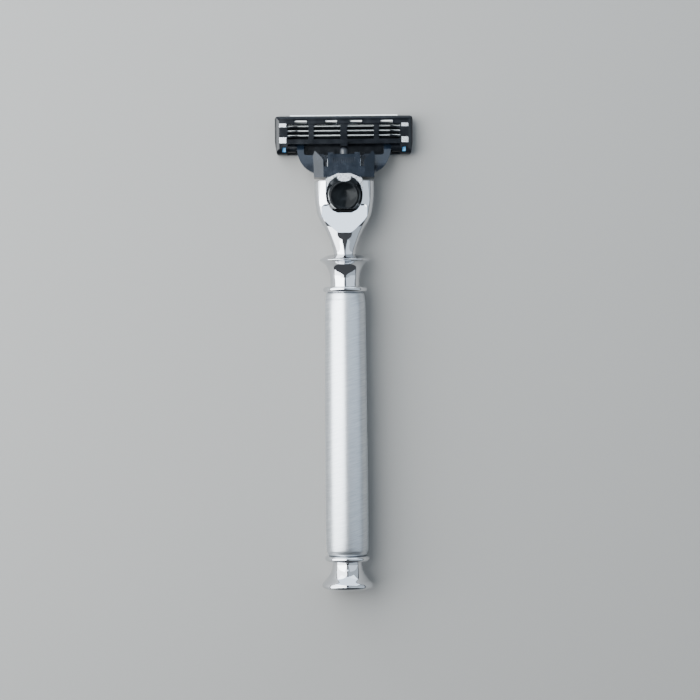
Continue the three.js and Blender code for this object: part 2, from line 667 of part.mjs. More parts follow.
function housing() {
  const ends = [1, -1].map(endBlock);
  const inner = END_INNER + 0.1;
  const frontSide = new THREE.Shape();
  frontSide.moveTo(138.65, 1.95);
  frontSide.lineTo(138.65, HOUSING_TOP - 0.3);
  frontSide.lineTo(138.95, HOUSING_TOP);
  frontSide.lineTo(HOUSING_FRONT - 1.6, HOUSING_TOP);
  frontSide.quadraticCurveTo(HOUSING_FRONT, HOUSING_TOP - 0.1, HOUSING_FRONT, 3.7);
  frontSide.lineTo(HOUSING_FRONT, 1.95);
  frontSide.closePath();
  const frontBar = across(frontSide, -inner, inner);
  const rail = block([-inner, 132.9, 4.2], [inner, 134.3, HOUSING_TOP]);
  const web = block([-11.4, 133.1, 0.9], [11.4, 133.9, 4.5]);
  const guardBar = block([-inner, 129.9, 0.8], [inner, 133.5, 1.5]);
  const ribs = RIB_SPANS.map(([x0, x1]) => block([x0, 134, RIB_FLOOR], [x1, 139, HOUSING_TOP - 0.15]));
  const cam = block([-1.05, PIVOT_STATION - 0.05, 4.4], [1.05, 133.6, 8.3]);
  const fingers = [...springFingers(1), ...springFingers(-1)];
  const whole = join(...ends, frontBar, rail, web, guardBar, ...ribs, cam, ...fingers);
  const windows = TABS.map(([x0, x1]) =>
    block([x0 - 0.05, TAB_STATIONS[0] - 0.05, 1], [x1 + 0.05, TAB_STATIONS[1] + 0.05, 6]));
  const guardSeat = block([-19, 130.15, 0], [19, 132.85, 0.8]);
  return cut(whole, ...windows, guardSeat, ...endCutters(1), ...endCutters(-1));
}

// The guard is a soft plate with fins below and a plug up through each end block.
function guardRubber() {
  const plate = block([-18.9, 130.2, 0.3], [18.9, 132.8, 0.75]);
  const fins = [130.35, 130.9, 131.45, 132.0, 132.5].map((station) =>
    block([-16.6, station - 0.12, 0], [16.6, station + 0.12, 0.4]));
  const plugs = pair([PLUG.x[0], PLUG.s[0], 0.5], [PLUG.x[1], PLUG.s[1], PLUG.top]);
  return join(plate, ...fins, ...plugs);
}

// The lubricating strip lies along the front on the shaving side; its tabs stand up in the windows.
function lubricatingStrip() {
  const shape = new THREE.Shape();
  shape.moveTo(139.05, 0.15);
  shape.lineTo(139.05, 1.85);
  shape.lineTo(LENGTH - 0.35, 1.85);
  shape.quadraticCurveTo(LENGTH, 1.8, LENGTH, 1.4);
  shape.quadraticCurveTo(LENGTH, 0.4, 140.9, 0);
  shape.lineTo(139.5, 0);
  shape.closePath();
  const bar = across(shape, -16.2, 16.2);
  const tabs = TABS.map(([x0, x1]) =>
    block([x0, TAB_STATIONS[0] + 0.4, 1.5], [x1, TAB_STATIONS[1], HOUSING_TOP - 0.45]));
  return join(bar, ...tabs);
}

const EDGE_Z = 0.3; // height of the cutting edges
const BLADE_REACH = 1.05; // from a support's leg to the cutting edge; the rest of the pitch is a rinse gap
const BLADE_SLOPE = Math.tan(THREE.MathUtils.degToRad(21.5));

// A blade lies on its slope with its edge towards the guard.
function blade(station) {
  const edge = station - BLADE_REACH;
  const back = station - 0.2;
  const rise = (back - edge) * BLADE_SLOPE;
  return across(
    outline([[edge, EDGE_Z], [back, EDGE_Z + rise], [back, EDGE_Z + rise + 0.1],
      [edge + 0.25, EDGE_Z + 0.25 * BLADE_SLOPE + 0.1]]),
    -BLADE_HALF,
    BLADE_HALF,
  );
}

// A bent strip carries the blade on its foot, and its leg stands up into the housing.
function bladeSupport(station) {
  const above = (s, lift) => [s, EDGE_Z + (s - station + BLADE_REACH) * BLADE_SLOPE + 0.12 + lift];
  return across(
    outline([above(station - BLADE_REACH + 0.35, 0), above(station + 0.16, 0), [station + 0.16, 3.5],
      [station - 0.16, 3.5], above(station - 0.16, 0.3), above(station - BLADE_REACH + 0.42, 0.3)]),
    -BLADE_HALF,
    BLADE_HALF,
  );
}

// ---------------------------------------------------------------- assembly

const razor = new THREE.Group();
razor.add(
  node("end_cap", endCap(), CHROME),
  node("lower_bead_ring", beadRing(CAP_TOP + 0.05, LOWER_BEAD_TOP, 6.72, 16), CHROME),
  node("barrel_sleeve", barrelSleeve(), BRUSHED),
  node("tie_rod", rod(ROD_RADIUS, 3.1, 103.9, AXIS_Z, 24), STEEL),
  node("upper_bead_ring", beadRing(BARREL_TOP, UPPER_BEAD_TOP - 0.05, BEAD_RADIUS, 82), CHROME),
  node("upper_collar", upperCollar(), CHROME),
  node("head_body", headBody(), CHROME),
  node("nose_insert", noseInsert(), NOSE_METAL),
  node("nose_pin_right", nosePin(1), STEEL),
  node("nose_pin_left", nosePin(-1), STEEL),
  node("plunger", plunger(), STEEL),
  node("plunger_spring", plungerSpring(), STEEL),
  node("ejector_spring", ejectorSpring(), STEEL),
  node("ejector_slide", ejectorSlide(), NOSE_METAL),
  node("ejector_button", ejectorButton(), BUTTON_BLACK),
  node("yoke", yoke(), YOKE_BLUE),
  node("cartridge_housing", housing(), HOUSING_BLACK),
  node("guard_rubber", guardRubber(), GUARD_BLUE),
  node("lubricating_strip", lubricatingStrip(), STRIP_WHITE),
  node("clip_right", clip(1), ALUMINIUM),
  node("clip_left", clip(-1), ALUMINIUM),
);
["rear", "middle", "front"].forEach((place, i) => {
  razor.add(node(`blade_${place}`, blade(BLADE_STATIONS[i]), BLADE_STEEL));
  razor.add(node(`blade_support_${place}`, bladeSupport(BLADE_STATIONS[i]), BLADE_STEEL));
});
razor.position.y = -LENGTH / 2;

export default razor;
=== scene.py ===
import json
import math

import bmesh
import bpy
from mathutils import Matrix, Vector

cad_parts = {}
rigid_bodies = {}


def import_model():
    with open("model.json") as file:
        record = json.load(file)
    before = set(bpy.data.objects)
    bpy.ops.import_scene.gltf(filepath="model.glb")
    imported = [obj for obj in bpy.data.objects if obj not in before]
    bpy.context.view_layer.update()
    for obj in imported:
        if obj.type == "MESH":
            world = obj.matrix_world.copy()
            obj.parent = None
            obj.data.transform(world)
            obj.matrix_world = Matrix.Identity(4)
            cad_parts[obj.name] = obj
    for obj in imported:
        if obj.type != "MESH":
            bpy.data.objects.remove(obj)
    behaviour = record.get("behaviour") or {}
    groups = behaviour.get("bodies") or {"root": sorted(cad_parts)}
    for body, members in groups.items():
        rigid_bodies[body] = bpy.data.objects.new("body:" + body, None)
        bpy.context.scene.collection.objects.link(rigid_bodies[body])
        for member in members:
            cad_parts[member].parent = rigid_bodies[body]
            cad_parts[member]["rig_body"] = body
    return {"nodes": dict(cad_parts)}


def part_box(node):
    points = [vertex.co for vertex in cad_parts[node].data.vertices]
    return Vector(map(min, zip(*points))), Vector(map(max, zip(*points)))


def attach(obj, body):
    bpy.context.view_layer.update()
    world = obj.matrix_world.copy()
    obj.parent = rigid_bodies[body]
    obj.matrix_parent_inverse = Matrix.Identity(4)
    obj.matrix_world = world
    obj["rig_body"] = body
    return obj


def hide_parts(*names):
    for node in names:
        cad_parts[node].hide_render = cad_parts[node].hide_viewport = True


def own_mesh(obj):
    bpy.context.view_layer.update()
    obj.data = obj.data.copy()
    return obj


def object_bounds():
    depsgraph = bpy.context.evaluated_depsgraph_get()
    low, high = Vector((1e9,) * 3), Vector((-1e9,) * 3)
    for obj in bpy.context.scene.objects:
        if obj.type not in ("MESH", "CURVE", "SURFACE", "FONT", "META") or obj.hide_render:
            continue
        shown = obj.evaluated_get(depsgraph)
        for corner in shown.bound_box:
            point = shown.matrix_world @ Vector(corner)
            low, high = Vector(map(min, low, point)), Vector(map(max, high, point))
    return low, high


# A cartridge razor, seen from its thumb button's side. The turned and polished pieces are rebuilt
# finely here and stand for their CAD nodes; the moulded and pressed ones keep the CAD shape, with
# their edges rounded. Lengths are in millimetres until they reach a mesh, and lengths along the
# handle are stations, counted from the butt end.

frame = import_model()
cad_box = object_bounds()

MM = 0.001
NODES = frame["nodes"]
BUTT = cad_box[0][1]


def station_of(node, end):
    """The station of a CAD node's rear (0) or front (1) end, in millimetres."""
    return (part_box(node)[end].y - BUTT) / MM


def radius_of(node):
    """Half a CAD node's width, in millimetres."""
    low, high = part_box(node)
    return (high.x - low.x) / 2 / MM


def centre_height(node):
    """The height of a CAD node's centre, in millimetres."""
    low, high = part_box(node)
    return (low.z + high.z) / 2 / MM


AXIS_Z = centre_height("barrel_sleeve")
CAP_TOP = station_of("end_cap", 1)
HEAD_REAR = station_of("head_body", 0)
HEAD_FRONT = station_of("head_body", 1)
BARREL_LOW = station_of("barrel_sleeve", 0)
BARREL_HIGH = station_of("barrel_sleeve", 1)
COLLAR_LOW = station_of("upper_collar", 0)
COLLAR_HIGH = station_of("upper_collar", 1)
FLANGE = radius_of("end_cap")
NECK = 4.4  # radius of the end cap's and the collar's waists
BORE = 2.0  # radius of the hole for the tie rod
BEAD = 1.65  # height of a bead along the handle
SIDES = 192  # of a turned piece
SHARP = 32  # degrees: a mesh edge that turns by more looks sharp
CAD_SHARP = 35  # the same for the CAD's own meshes, and where their edges are rounded


# ---------------------------------------------------------------- shape helpers


def smooth(points, steps=8):
    """Points on a Catmull-Rom curve through the given ones."""
    found = []
    last = len(points) - 1
    for i in range(last):
        p = [points[max(i - 1, 0)], points[i], points[i + 1], points[min(i + 2, last)]]
        for step in range(steps):
            t = step / steps
            found.append(tuple(catmull_rom([q[k] for q in p], t) for k in range(len(p[0]))))
    found.append(points[-1])
    return found


def catmull_rom(p, t):
    """The curve's value between p[1] and p[2], a share t of the way."""
    v0 = (p[2] - p[0]) / 2
    v1 = (p[3] - p[1]) / 2
    cubic = 2 * (p[1] - p[2]) + v0 + v1
    square = -3 * (p[1] - p[2]) - 2 * v0 - v1
    return cubic * t**3 + square * t**2 + v0 * t + p[1]


def arc(u, v, radius, start, end, steps=10):
    """Points on an arc about (u, v), between two angles in degrees."""
    angles = [math.radians(start + (end - start) * i / steps) for i in range(steps + 1)]
    return [(u + radius * math.cos(a), v + radius * math.sin(a)) for a in angles]


def piece_from(name, verts, faces, sharp=SHARP):
    """An object from vertices in millimetres and stations, smooth but for its sharp edges."""
    mesh = bpy.data.meshes.new(name)
    mesh.from_pydata([(x * MM, BUTT + s * MM, z * MM) for x, s, z in verts], [], faces)
    mesh.validate()
    piece = bpy.data.objects.new(name, mesh)
    bpy.context.scene.collection.objects.link(piece)
    face_out(mesh)
    shade(mesh, sharp)
    return piece


def face_out(mesh):
    """Merges vertices that coincide, and turns the faces outwards."""
    bm = bmesh.new()
    bm.from_mesh(mesh)
    bmesh.ops.remove_doubles(bm, verts=bm.verts, dist=1e-8)
    bmesh.ops.recalc_face_normals(bm, faces=bm.faces)
    bm.to_mesh(mesh)
    bm.free()


def shade(mesh, sharp):
    """Shades a mesh smooth, but for edges that turn by more than sharp degrees."""
    mesh.polygons.foreach_set("use_smooth", [True] * len(mesh.polygons))
    mesh.set_sharp_from_angle(angle=math.radians(sharp))
    mesh.update()


def turned(name, profile, sides=SIDES, z=AXIS_Z):
    """A closed profile of (radius, station) turned about the handle's axis. A profile that starts
    and ends on the axis is closed by its poles; any other is a ring and closes on itself."""
    poles = profile[0][0] == 0 and profile[-1][0] == 0
    verts, rows = [], []
    for radius, station in profile:
        if radius == 0:
            rows.append([len(verts)] * sides)
            verts.append((0, station, z))
            continue
        rows.append(list(range(len(verts), len(verts) + sides)))
        for i in range(sides):
            angle = 2 * math.pi * i / sides
            verts.append((radius * math.cos(angle), station, z + radius * math.sin(angle)))
    if not poles:
        rows.append(rows[0])
    return piece_from(name, verts, bands(rows))


def bands(rows):
    """Faces between neighbouring rows of vertices, each row closed on itself or one pole."""
    faces = []
    for low, high in zip(rows, rows[1:]):
        for i in range(len(low)):
            j = (i + 1) % len(low)
            faces.append(tuple(dict.fromkeys((low[i], low[j], high[j], high[i]))))
    return faces


def prism(name, outline, place, depth0, depth1):
    """A closed outline of (u, v) points swept between two depths; place turns (u, v, depth) into
    (x, station, z)."""
    n = len(outline)
    verts = [place(u, v, d) for d in (depth0, depth1) for u, v in outline]
    faces = [tuple(range(n)), tuple(range(n, 2 * n))]
    faces += [(i, (i + 1) % n, n + (i + 1) % n, n + i) for i in range(n)]
    return piece_from(name, verts, faces)


def upright(u, v, d):
    """A prism with a plan outline, from one height to another."""
    return u, v, d


def sideways(u, v, d):
    """A prism across the handle, with an outline seen from the side."""
    return d, u, v


def applied(piece):
    """Bakes a piece's modifiers into its mesh."""
    depsgraph = bpy.context.evaluated_depsgraph_get()
    mesh = bpy.data.meshes.new_from_object(piece.evaluated_get(depsgraph))
    piece.modifiers.clear()
    piece.data = mesh
    return piece


def carve(piece, cutters, operation="DIFFERENCE", sharp=SHARP):
    """Cuts or joins the cutters with a piece, and removes them. The seams come out as sharp edges:
    a temporary material on each solid tells which of them a face came from."""
    for part in (piece, *cutters):
        part.data.materials.append(bpy.data.materials.new("source"))
    for cutter in cutters:
        modifier = piece.modifiers.new("carve", "BOOLEAN")
        modifier.operation = operation
        modifier.solver = "EXACT"
        modifier.material_mode = "TRANSFER"
        modifier.object = cutter
    mesh = applied(piece).data
    for cutter in cutters:
        bpy.data.objects.remove(cutter)
    shade(mesh, sharp)
    sources = {}
    for face in mesh.polygons:
        for key in face.edge_keys:
            sources.setdefault(key, set()).add(face.material_index)
    for edge in mesh.edges:
        if len(sources.get(edge.key, ())) > 1:
            edge.use_edge_sharp = True
    mesh.materials.clear()
    return piece


def soften(piece, width, segments=3):
    """Rounds a piece's edges with modifiers, so its mesh stays as it is."""
    flat = piece.modifiers.new("merge_flats", "DECIMATE")
    flat.decimate_type = "DISSOLVE"
    flat.angle_limit = math.radians(0.5)
    bevel = piece.modifiers.new("edge_radius", "BEVEL")
    bevel.width = width * MM
    bevel.segments = segments
    bevel.limit_method = "ANGLE"
    bevel.angle_limit = math.radians(CAD_SHARP)
    bevel.harden_normals = True
    bevel.miter_outer = "MITER_ARC"
    return piece


# ---------------------------------------------------------------- materials


class Shader:
    """A material's node tree, with short calls for the nodes that these finishes use."""

    def __init__(self, name, color, roughness, metallic=0.0, **sockets):
        self.material = bpy.data.materials.new(name)
        self.material.use_nodes = True
        self.tree = self.material.node_tree
        self.bsdf = self.tree.nodes["Principled BSDF"]
        self.bsdf.inputs["Base Color"].default_value = (*color, 1)
        self.bsdf.inputs["Roughness"].default_value = roughness
        self.bsdf.inputs["Metallic"].default_value = metallic
        for socket, value in sockets.items():
            self.bsdf.inputs[socket.replace("_", " ")].default_value = value

    def link(self, source, target):
        self.tree.links.new(source, target)

    def place(self, scale=(1, 1, 1), turn=(0, 0, 0)):
        """Object coordinates, turned and then scaled."""
        vector = self.tree.nodes.new("ShaderNodeTexCoord").outputs["Object"]
        for socket, value in (("Rotation", turn), ("Scale", scale)):
            mapping = self.tree.nodes.new("ShaderNodeMapping")
            mapping.inputs[socket].default_value = value
            self.link(vector, mapping.inputs["Vector"])
            vector = mapping.outputs["Vector"]
        return vector

    def noise(self, scale, vector=None, detail=4.0, rough=0.55):
        """A noise texture's value."""
        node = self.tree.nodes.new("ShaderNodeTexNoise")
        node.inputs["Scale"].default_value = scale
        node.inputs["Detail"].default_value = detail
        node.inputs["Roughness"].default_value = rough
        self.link(vector or self.place(), node.inputs["Vector"])
        return node.outputs["Fac"]

    def spread(self, source, low, high, start=0.3, end=0.7):
        """Maps start..end, a texture's middle range, to low..high."""
        node = self.tree.nodes.new("ShaderNodeMapRange")
        node.inputs["From Min"].default_value = start
        node.inputs["From Max"].default_value = end
        node.inputs["To Min"].default_value = low
        node.inputs["To Max"].default_value = high
        self.link(source, node.inputs["Value"])
        return node.outputs["Result"]

    def ramp(self, source, *stops):
        """A colour ramp with (position, colour) stops."""
        node = self.tree.nodes.new("ShaderNodeValToRGB")
        elements = node.color_ramp.elements
        while len(elements) < len(stops):
            elements.new(0.5)
        for element, (position, color) in zip(elements, stops):
            element.position = position
            element.color = (*color, 1)
        self.link(source, node.inputs["Fac"])
        return node.outputs["Color"]

    def roughness(self, source, low, high):
        """Lets the roughness run from low to high with a texture."""
        self.link(self.spread(source, low, high), self.bsdf.inputs["Roughness"])

    def color(self, source, *stops):
        """Colours the surface by a texture and a ramp."""
        self.link(self.ramp(source, *stops), self.bsdf.inputs["Base Color"])

    def bump(self, *layers):
        """Height layers of (source, strength, distance in millimetres), one over the other."""
        normal = None
        for source, strength, distance in layers:
            node = self.tree.nodes.new("ShaderNodeBump")
            node.inputs["Strength"].default_value = strength
            node.inputs["Distance"].default_value = distance * MM
            self.link(source, node.inputs["Height"])
            if normal:
                self.link(normal, node.inputs["Normal"])
            normal = node.outputs["Normal"]
        self.link(normal, self.bsdf.inputs["Normal"])
        return self.material


def chrome():
    """Polished plate: a faint swell from the polishing wheel and hairline scratches."""
    s = Shader("polished_chrome", (0.66, 0.67, 0.69), 0.05, 1.0)
    swell = s.noise(260, detail=2)
    hair_a = s.noise(1, s.place((300, 9000, 2200), (0.3, 0.2, 0.5)), detail=3)
    s.roughness(s.noise(900, detail=6), 0.03, 0.085)
    return s.bump((swell, 0.05, 0.02), (hair_a, 0.02, 0.004))


def brushed():
    """Satin barrel: fine lines round it, some deeper than others."""
    s = Shader("brushed_steel", (0.74, 0.76, 0.78), 0.3, 1.0)
    fine = s.noise(1, s.place((90, 16000, 90), (0, 0, 0.1)), detail=5, rough=0.7)
    broad = s.noise(1, s.place((220, 3000, 220), (0, 0, -0.28)), detail=5, rough=0.6)
    cloud = s.noise(120, detail=3)
    s.color(broad, (0.3, (0.49, 0.52, 0.555)), (0.5, (0.6, 0.625, 0.655)), (0.7, (0.71, 0.73, 0.755)))
    s.roughness(broad, 0.28, 0.4)
    return s.bump((cloud, 0.03, 0.02), (broad, 0.4, 0.012), (fine, 0.35, 0.004))


def steel(name, color, roughness, lines=(40, 4000, 4000)):
    """Ground sheet or rod, with grain along one direction."""
    s = Shader(name, color, roughness, 1.0)
    grain = s.noise(1, s.place(lines), detail=4)
    s.roughness(grain, roughness * 0.75, roughness * 1.3)
    return s.bump((grain, 0.15, 0.004))


def blade_steel():
    """Ground strip: bare metal on the upper edges, and painted shade that darkens it lower down, towards
    the cutting edges, for the depth inside the cartridge.
    """
    s = Shader("blade_steel", (0.6, 0.61, 0.63), 0.25, 1.0)
    height = s.tree.nodes.new("ShaderNodeSeparateXYZ")
    s.link(s.place((1, 1, 1000)), height.inputs["Vector"])
    stain = s.noise(1, s.place((60, 3000, 3000)), detail=2)
    # Painted shade: by height alone, the colour runs from near black low down to bare metal at the top
    # edges, standing in for the shade deep in the housing.
    s.color(s.spread(height.outputs["Z"], 0, 1, 2.6, 3.4),
            (0.0, (0.07, 0.075, 0.085)), (0.6, (0.14, 0.145, 0.155)), (1.0, (0.4, 0.41, 0.4)))
    s.roughness(stain, 0.18, 0.34)
    return s.bump((s.noise(1, s.place((30, 6000, 6000)), detail=2), 0.1, 0.003))


def plastic(name, color, low, high, speckle=0.05, specular=0.5):
    """Moulded plastic: the tool's fine grain, and patches handled smoother."""
    s = Shader(name, color, (low + high) / 2, 0.0, IOR=1.5, Specular_IOR_Level=specular)
    grain = s.noise(9000, detail=3)
    wear = s.noise(350, detail=5)
    darker = tuple(c * 0.7 for c in color)
    lighter = tuple(min(c * 1.5 + 0.002, 1) for c in color)
    s.color(wear, (0.3, darker), (0.55, color), (0.8, lighter))
    s.roughness(wear, low, high)
    return s.bump((wear, 0.05, 0.02), (grain, speckle, 0.006))


def waxy_strip():
    """The lubricating strip: porous, with drag marks along it."""
    s = Shader("lubricating_strip", (0.9, 0.91, 0.9), 0.5, 0.0)
    s.bsdf.inputs["Subsurface Weight"].default_value = 0.15
    s.bsdf.inputs["Subsurface Radius"].default_value = (0.0006, 0.0006, 0.0005)
    pores = s.noise(2600, detail=6)
    drag = s.noise(1, s.place((120, 2500, 2500)), detail=4)
    s.color(pores, (0.3, (0.82, 0.83, 0.82)), (0.6, (0.93, 0.94, 0.93)))
    s.roughness(pores, 0.45, 0.7)
    return s.bump((drag, 0.1, 0.02), (pores, 0.2, 0.02))


# ---------------------------------------------------------------- turned pieces


def end_cap():
    """The butt: a flared foot, and a waist that goes into the lower bead."""
    rim = smooth([(7.1, 0.05), (7.46, 0.3), (FLANGE - 0.02, 0.75), (7.54, 1.1), (7.2, 1.75), (5.9, 3.2),
                  (4.9, 4.9), (4.48, 6.6), (NECK, CAP_TOP - 0.15)])
    face = [(0, 0.0), (6.9, 0)]
    top = [(NECK - 0.1, CAP_TOP), (BORE, CAP_TOP), (BORE, 3), (0, 3)]
    return turned("end_cap_turning", face + rim + top)


def bead_ring(name, node, in_front):
    """A half-round bead at one end of the barrel, in front of it or behind it, with a spigot that
    centres the barrel."""
    rear, front = station_of(node, 0), station_of(node, 1)
    radius, half = radius_of(node), BEAD / 2
    middle = front - half if in_front else rear + half
    band = arc(radius - half, middle, half, -90, 90, 24)
    ring = turned(name, band + [(BORE, middle + half), (BORE, middle - half)])
    low, high = (rear, middle) if in_front else (middle, front)
    sleeve = turned(name + "_spigot", [(4.0, low), (4.0, high), (BORE, high), (BORE, low)], sides=64)
    return carve(ring, [sleeve], "UNION")


def barrel():
    """The satin sleeve: slightly fuller low down, with round shoulders."""
    shoulder = smooth([(5.4, BARREL_LOW), (5.72, BARREL_LOW + 0.22), (6.05, BARREL_LOW + 0.95),
                       (6.3, BARREL_LOW + 3.4), (6.36, 27), (6.28, 50), (6.12, 72), (6.03, 84),
                       (5.87, 86.3), (5.7, BARREL_HIGH - 0.5), (5.4, BARREL_HIGH)])
    bore = [(4.05, BARREL_HIGH), (4.05, BARREL_LOW)]
    return turned("barrel_satin", shoulder + bore, sides=256)


def upper_collar():
    """The waist above the barrel, with the flange that hangs in a stand."""
    foot = [(BORE, COLLAR_LOW), (NECK, COLLAR_LOW)]
    side = smooth([(NECK, COLLAR_LOW + 0.3), (NECK, 91.4), (4.45, 92.6), (4.7, 94.2), (5.5, 96),
                   (6.75, 97.2), (7.35, 97.52), (7.55, 97.68), (FLANGE - 0.02, 97.8), (7.5, 97.95),
                   (7.1, 98.3), (6.2, 98.85), (5, 99.28), (4.1, COLLAR_HIGH - 0.03)])
    top = [(3.9, COLLAR_HIGH), (BORE, COLLAR_HIGH)]
    return turned("flanged_collar", foot + side + top)


# ---------------------------------------------------------------- head and button

# Half width, station and half height of the head's sections, from its neck to the fork. These and
# the constants after them repeat the CAD's dimensions.
HEAD_SECTIONS = [(3.3, HEAD_REAR, 3.3), (3.34, 100.2, 3.3), (3.75, 101.9, 3.36), (4.39, 103.9, 3.48),
                 (5.12, 105.7, 3.72), (6.08, 107.6, 4.0), (7.2, 109.5, 4.45), (8.0, 111.3, 4.85),
                 (8.45, 113.4, 5.2), (8.78, 115.8, 5.42), (8.93, 118.6, 5.5),
                 (8.93, HEAD_FRONT - 0.15, 5.5)]
BUTTON_REAR = 112.8
BUTTON_STATION = 117.6
BUTTON_RADIUS = radius_of("ejector_button")
BUTTON_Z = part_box("ejector_button")[0].z / MM
BUTTON_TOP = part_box("ejector_button")[1].z / MM
BUTTON_GAP = 0.17
PAD_DEPTH = 1.08  # how much further the button's plan reaches to the rear than to the sides
SLOT_HALF = 5.5
SLOT_CENTRE = 118.6
SLOT_FLOOR = 4.3
FACET_REAR = 105.9
FACET_FRONT = 114.3
FACET_HALF = 6.75
FACET_SLOPE = 0.085
FACET_Z = 10.7
PIN_RADIUS = 0.85
ROD_END = 104
# The ejector's lens, and the room that the button leaves for its post.
LENS_STATION = 122.1
LENS_HALVES = (2, 1.2)  # of its width and its length
POST_HALF = 1.86
POST_REAR = 115.74
POST_FRONT = 118.66
POST_TOP = 12.66


def blend_step(value, low, high):
    """0 below low, 1 above high, and smooth between them."""
    t = min(max((value - low) / (high - low), 0), 1)
    return t * t * (3 - 2 * t)


def tulip():
    """The head before it is milled: round sections at the neck that turn to superellipses."""
    sides = 288
    half_width, _, half_height = HEAD_SECTIONS[-1]
    lip = [(half_width - 0.03, HEAD_FRONT - 0.05, half_height - 0.03),
           (half_width - 0.12, HEAD_FRONT, half_height - 0.12)]
    verts, rows = [(0, HEAD_REAR, AXIS_Z)], [[0] * sides]
    for width, station, height in smooth(HEAD_SECTIONS, 12) + lip:
        power = 2 / (2 + 0.8 * blend_step(station, HEAD_REAR, 105))
        rows.append(list(range(len(verts), len(verts) + sides)))
        for i in range(sides):
            angle = 2 * math.pi * i / sides
            x, z = [math.copysign(abs(v) ** power, v) for v in (math.cos(angle), math.sin(angle))]
            verts.append((width * x, station, AXIS_Z + height * z))
    rows.append([len(verts)] * sides)
    verts.append((0, HEAD_FRONT, AXIS_Z))
    return piece_from("forked_head", verts, bands(rows))


def pad_reach(across, along):
    """How far the button's plan reaches along a direction, over its radius: fuller to the rear."""
    if along >= 0:
        return 1
    power = 2.5
    return (abs(across) ** power + (-along / PAD_DEPTH) ** power) ** (-1 / power)


def pad_outline(grow):
    """The button's plan, cut flat at the rear."""
    radius, rear = BUTTON_RADIUS + grow, BUTTON_REAR - grow
    points = []
    for i in range(192):
        x, y = math.cos(math.tau * i / 192), math.sin(math.tau * i / 192)
        reach = radius * pad_reach(x, y)
        points.append((reach * x, max(BUTTON_STATION + reach * y, rear)))
    return points


def facet_cutter():
    """Mills the facet: round front corners, and a floor that rises to the rear."""
    corner = 1.2
    right = arc(FACET_HALF - corner, FACET_FRONT - corner, corner, 0, 90)
    left = [(-x, s) for x, s in reversed(right)]
    outline = [(-FACET_HALF, FACET_REAR), (FACET_HALF, FACET_REAR)] + right + left

    def place(x, station, depth):
        return x, station, FACET_Z + (BUTTON_REAR - station) * FACET_SLOPE + depth

    return prism("facet_cutter", outline, place, 0, 8)


def rectangle(half, rear, front):
    """A plan outline as wide as twice half, between two stations."""
    return [(-half, rear), (half, rear), (half, front), (-half, front)]


def slot_cutter():
    """Mills the fork's slot, round at its rear end."""
    front = HEAD_FRONT + 1
    tail = arc(0, SLOT_CENTRE, SLOT_HALF, 180, 360, 48)
    outline = [(-SLOT_HALF, front)] + tail + [(SLOT_HALF, front)]
    return prism("slot_cutter", outline, upright, SLOT_FLOOR, 16)


def head_body():
    """The forked head: the tulip, milled for the nose, the button, the pins and the rod."""
    well = prism("well_cutter", pad_outline(BUTTON_GAP), upright, BUTTON_Z - 0.15, 16)
    pins = prism("pin_cutter", arc(SLOT_CENTRE, AXIS_Z, PIN_RADIUS, 0, 345, 23), sideways, -10, 10)
    bore = [(0, HEAD_REAR - 1), (BORE, HEAD_REAR - 1), (BORE, ROD_END), (0, ROD_END)]
    rod = turned("rod_cutter", bore, sides=48)
    return carve(tulip(), [slot_cutter(), well, facet_cutter(), pins, rod], sharp=30)


def lens_outline(grow):
    """The plan of the ejector's lens, which the button is notched for."""
    across, along = [half + grow for half in LENS_HALVES]
    return [(across * math.cos(a), LENS_STATION + along * math.sin(a))
            for a in [math.tau * i / 64 for i in range(64)]]


def thumb_button():
    """A pad that leans back, dished on top, cut flat at the rear and notched in front."""
    lean, low, sides = 1.1, 12.1, 192
    skirt = [(0, BUTTON_Z), (5.2, BUTTON_Z), (5.3, BUTTON_Z + 0.1), (BUTTON_RADIUS, 11.7)]
    side = smooth([(BUTTON_RADIUS, low - 0.1), (5.24, 12.35), (5.0, 12.9), (4.72, 13.7), (4.5, 14.4),
                   (4.34, 14.75), (4.12, 14.95), (3.9, BUTTON_TOP - 0.03), (3.72, 14.93), (3.5, 14.78)], 6)
    dish = smooth([(3.5, 14.78), (2.9, 14.5), (2.0, 14.25), (1.0, 14.12), (0, 14.08)], 8)[1:]
    verts, rows = [], []
    for radius, z in skirt + side + dish:
        rise = min(max((z - low) / (BUTTON_TOP - low), 0), 1)
        centre = BUTTON_STATION - lean * rise
        if radius == 0:
            rows.append([len(verts)] * sides)
            verts.append((0, centre, z))
            continue
        rows.append(list(range(len(verts), len(verts) + sides)))
        for i in range(sides):
            x, y = math.cos(math.tau * i / sides), math.sin(math.tau * i / sides)
            reach = radius * (pad_reach(x, y) * (1 - rise) + rise)
            verts.append((reach * x, centre + reach * y, z))
    button = piece_from("thumb_button", verts, bands(rows))
    rear = prism("rear_cutter", rectangle(7, 105, BUTTON_REAR), upright, 10, 17)
    notch = prism("notch_cutter", lens_outline(0.12), upright, 10, 17)
    post = rectangle(POST_HALF, POST_REAR, POST_FRONT)
    pocket = prism("pocket_cutter", post, upright, 10, POST_TOP)
    return carve(button, [rear, notch, pocket])


def plunger():
    """The sprung pin that steadies the blades: a flange, a shaft and a round tip."""
    rear, tip = station_of("plunger", 0), station_of("plunger", 1)
    flange = radius_of("plunger")
    shaft = 1.2
    profile = [(0, rear), (flange - 0.1, rear), (flange, rear + 0.1), (flange, rear + 0.7),
               (flange - 0.1, rear + 0.8), (shaft, rear + 0.8)]
    point = arc(0, tip - shaft, shaft, 0, 90, 16)[:-1] + [(0, tip)]
    return turned("plunger_pin", profile + point, sides=64, z=centre_height("plunger"))


